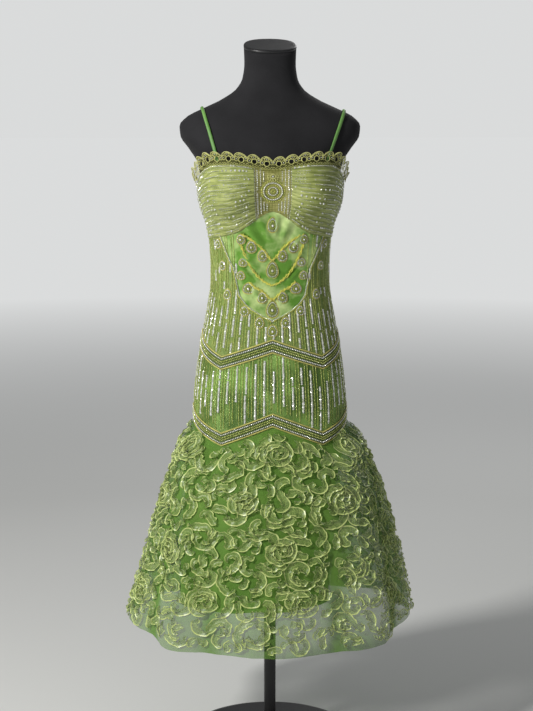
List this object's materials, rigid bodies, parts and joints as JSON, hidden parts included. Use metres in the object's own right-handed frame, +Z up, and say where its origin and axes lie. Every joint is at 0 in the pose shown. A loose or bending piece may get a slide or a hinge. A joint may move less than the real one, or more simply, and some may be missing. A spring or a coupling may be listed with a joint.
{
  "type": "mermaid cocktail dress on a dress form",
  "caption": "Fitted strappy dress with ruched cups, zigzag bead bands and a flared tulle overskirt with ribbon applique, on a limbless dress form and round stand.",
  "frame": {"origin": "on the floor, at the middle of the underside of the stand's round base, under the axis of its pole", "axes": "+Z up along the pole; the dress faces -Y; the wearer's left is +X"},
  "size_m": [0.5983, 0.493, 1.4918],
  "materials": {
    "satin": "bright green duchess satin, soft sheen",
    "beaded_net": "yellow-green net over satin, sewn with sequins and bugle beads",
    "ruched_tulle": "yellow-green tulle in fine gathers, with sequins",
    "ribbon_tulle": "sheer green tulle with organza ribbon sewn on in loops",
    "lace": "gold-green scalloped lace",
    "bead_band": "rows of silver beads edged with gold-green cord",
    "strap": "green satin rouleau",
    "zip": "green zip tape",
    "zip_metal": "satin nickel",
    "form": "black jersey stretched over a hard shell",
    "stand": "black powder coat"
  },
  "bodies": {
    "dress_on_form": {"back_left": "beaded_net", "back_right": "beaded_net", "band_lower": "bead_band", "band_upper": "bead_band", "bust_insert": "beaded_net", "cup_left": "ruched_tulle", "cup_right": "ruched_tulle", "form_neck_cap": "stand", "form_torso": "form", "front_shield": "satin", "hip_back_left": "satin", "hip_back_right": "satin", "hip_front": "satin", "lace_back_left": "lace", "lace_back_right": "lace", "lace_front": "lace", "overskirt_back": "ribbon_tulle", "overskirt_front": "ribbon_tulle", "side_front_left": "beaded_net", "side_front_right": "beaded_net", "stand_base": "stand", "stand_collar": "stand", "stand_pole": "stand", "strap_left": "strap", "strap_right": "strap", "underskirt_back": "satin", "underskirt_front": "satin", "zip_slider": "zip_metal", "zip_tape": "zip"},
    "zip_pull": {"zip_pull": "zip_metal"}
  },
  "joints": [
    {"name": "zip_pull_swing", "type": "hinge", "parent": "dress_on_form", "child": "zip_pull", "pos_m": [0, 0.10276, 1.162], "axis": [1, 0, 0], "range_deg": [0, 150]}
  ]
}
